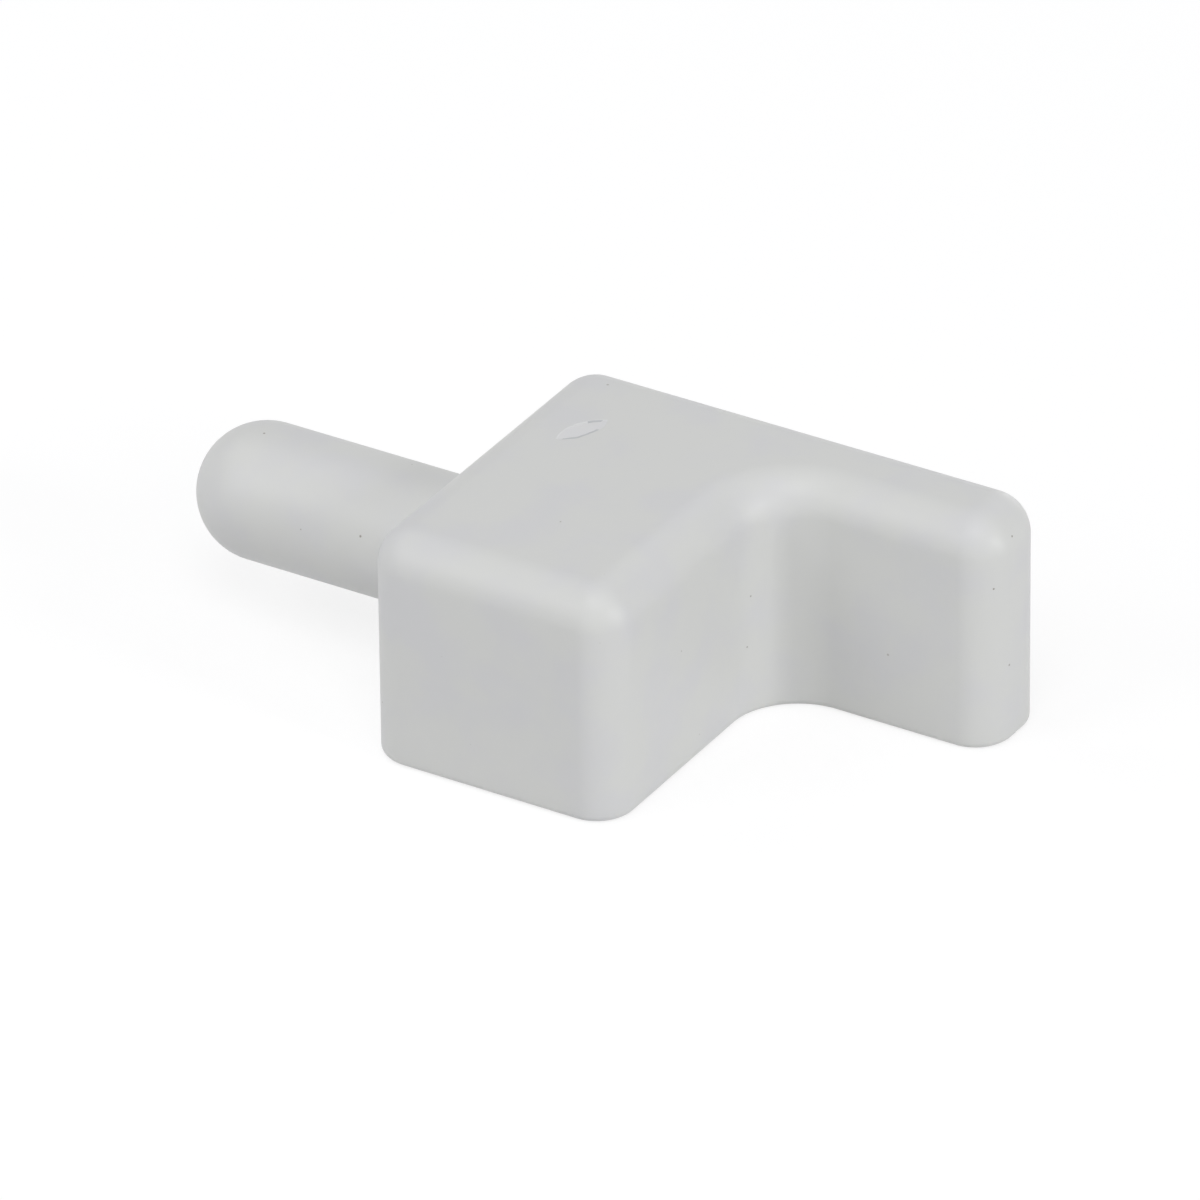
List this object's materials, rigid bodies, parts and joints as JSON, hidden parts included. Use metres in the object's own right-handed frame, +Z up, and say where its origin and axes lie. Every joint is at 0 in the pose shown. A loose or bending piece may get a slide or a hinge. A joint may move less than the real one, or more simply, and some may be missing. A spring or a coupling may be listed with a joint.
{
  "type": "hinge pin",
  "caption": "One-piece moulded hinge pin: a round-ended pin springs from the shoulder of an L-shaped head with a thinner tab and rounded edges.",
  "frame": {"origin": "on the pin's axis, in the plane of the shoulder that the pin springs from", "axes": "+X along the pin's axis, from the pin's tip towards the head and its tab; +Y across the head, towards the side the tab is on; +Z up, from the flat underside to the rounded top face"},
  "size_m": [0.0298, 0.0146, 0.009],
  "materials": {
    "moulded_plastic": "satin"
  },
  "bodies": {
    "root": {"hinge_pin": "moulded_plastic"}
  },
  "joints": []
}
